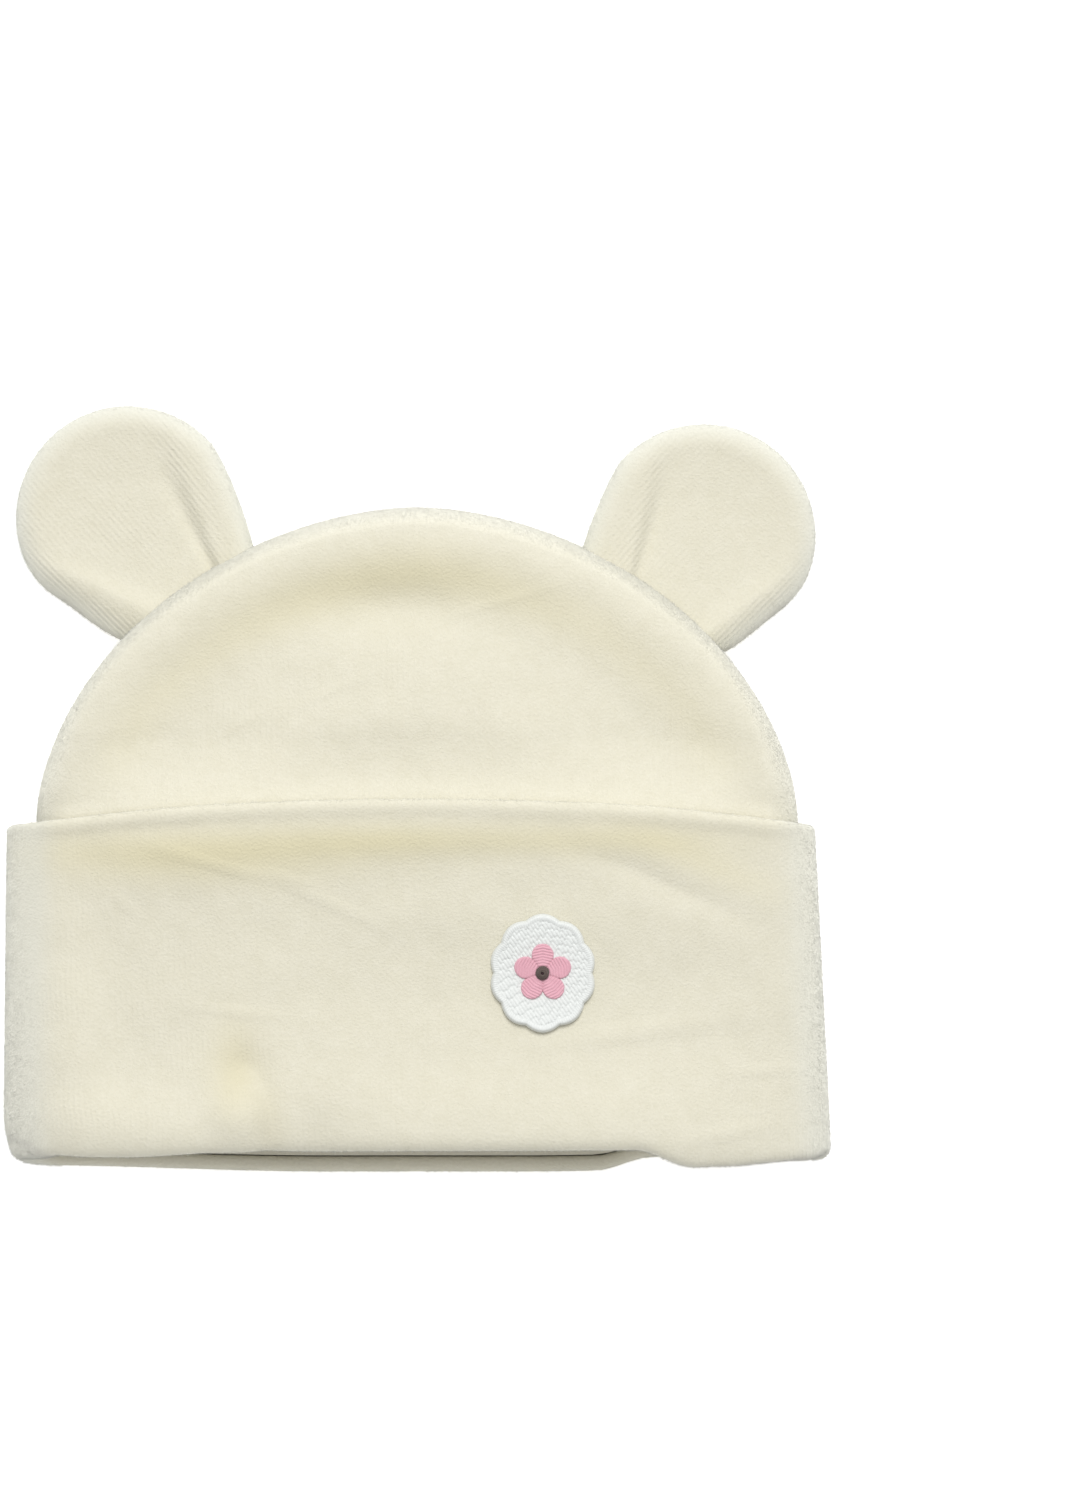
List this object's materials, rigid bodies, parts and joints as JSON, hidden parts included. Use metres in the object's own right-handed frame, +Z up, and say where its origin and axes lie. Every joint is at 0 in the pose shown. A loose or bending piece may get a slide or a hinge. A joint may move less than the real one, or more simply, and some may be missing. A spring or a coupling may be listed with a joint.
{
  "type": "baby hat with ears",
  "caption": "Soft velour baby hat lying flat: hollow crown, deep turned-up cuff, round padded ears and a small embroidered patch.",
  "frame": {"origin": "on the surface the hat lies on, under the middle of its outline", "axes": "+X to the right of the hat's front as seen, +Y from the rim towards the crown's top, +Z up out of the front"},
  "size_m": [0.1817, 0.1687, 0.0357],
  "materials": {
    "velour": "cream cotton velour with fine wales and a soft pile",
    "white_thread": "white satin-stitch embroidery",
    "pink_thread": "pink satin-stitch embroidery",
    "brown_thread": "dark brown knotted thread"
  },
  "bodies": {
    "root": {"crown": "velour", "cuff": "velour", "ear_left": "velour", "ear_right": "velour", "patch_backing": "white_thread", "patch_blossom": "pink_thread", "patch_centre": "brown_thread"}
  },
  "joints": []
}
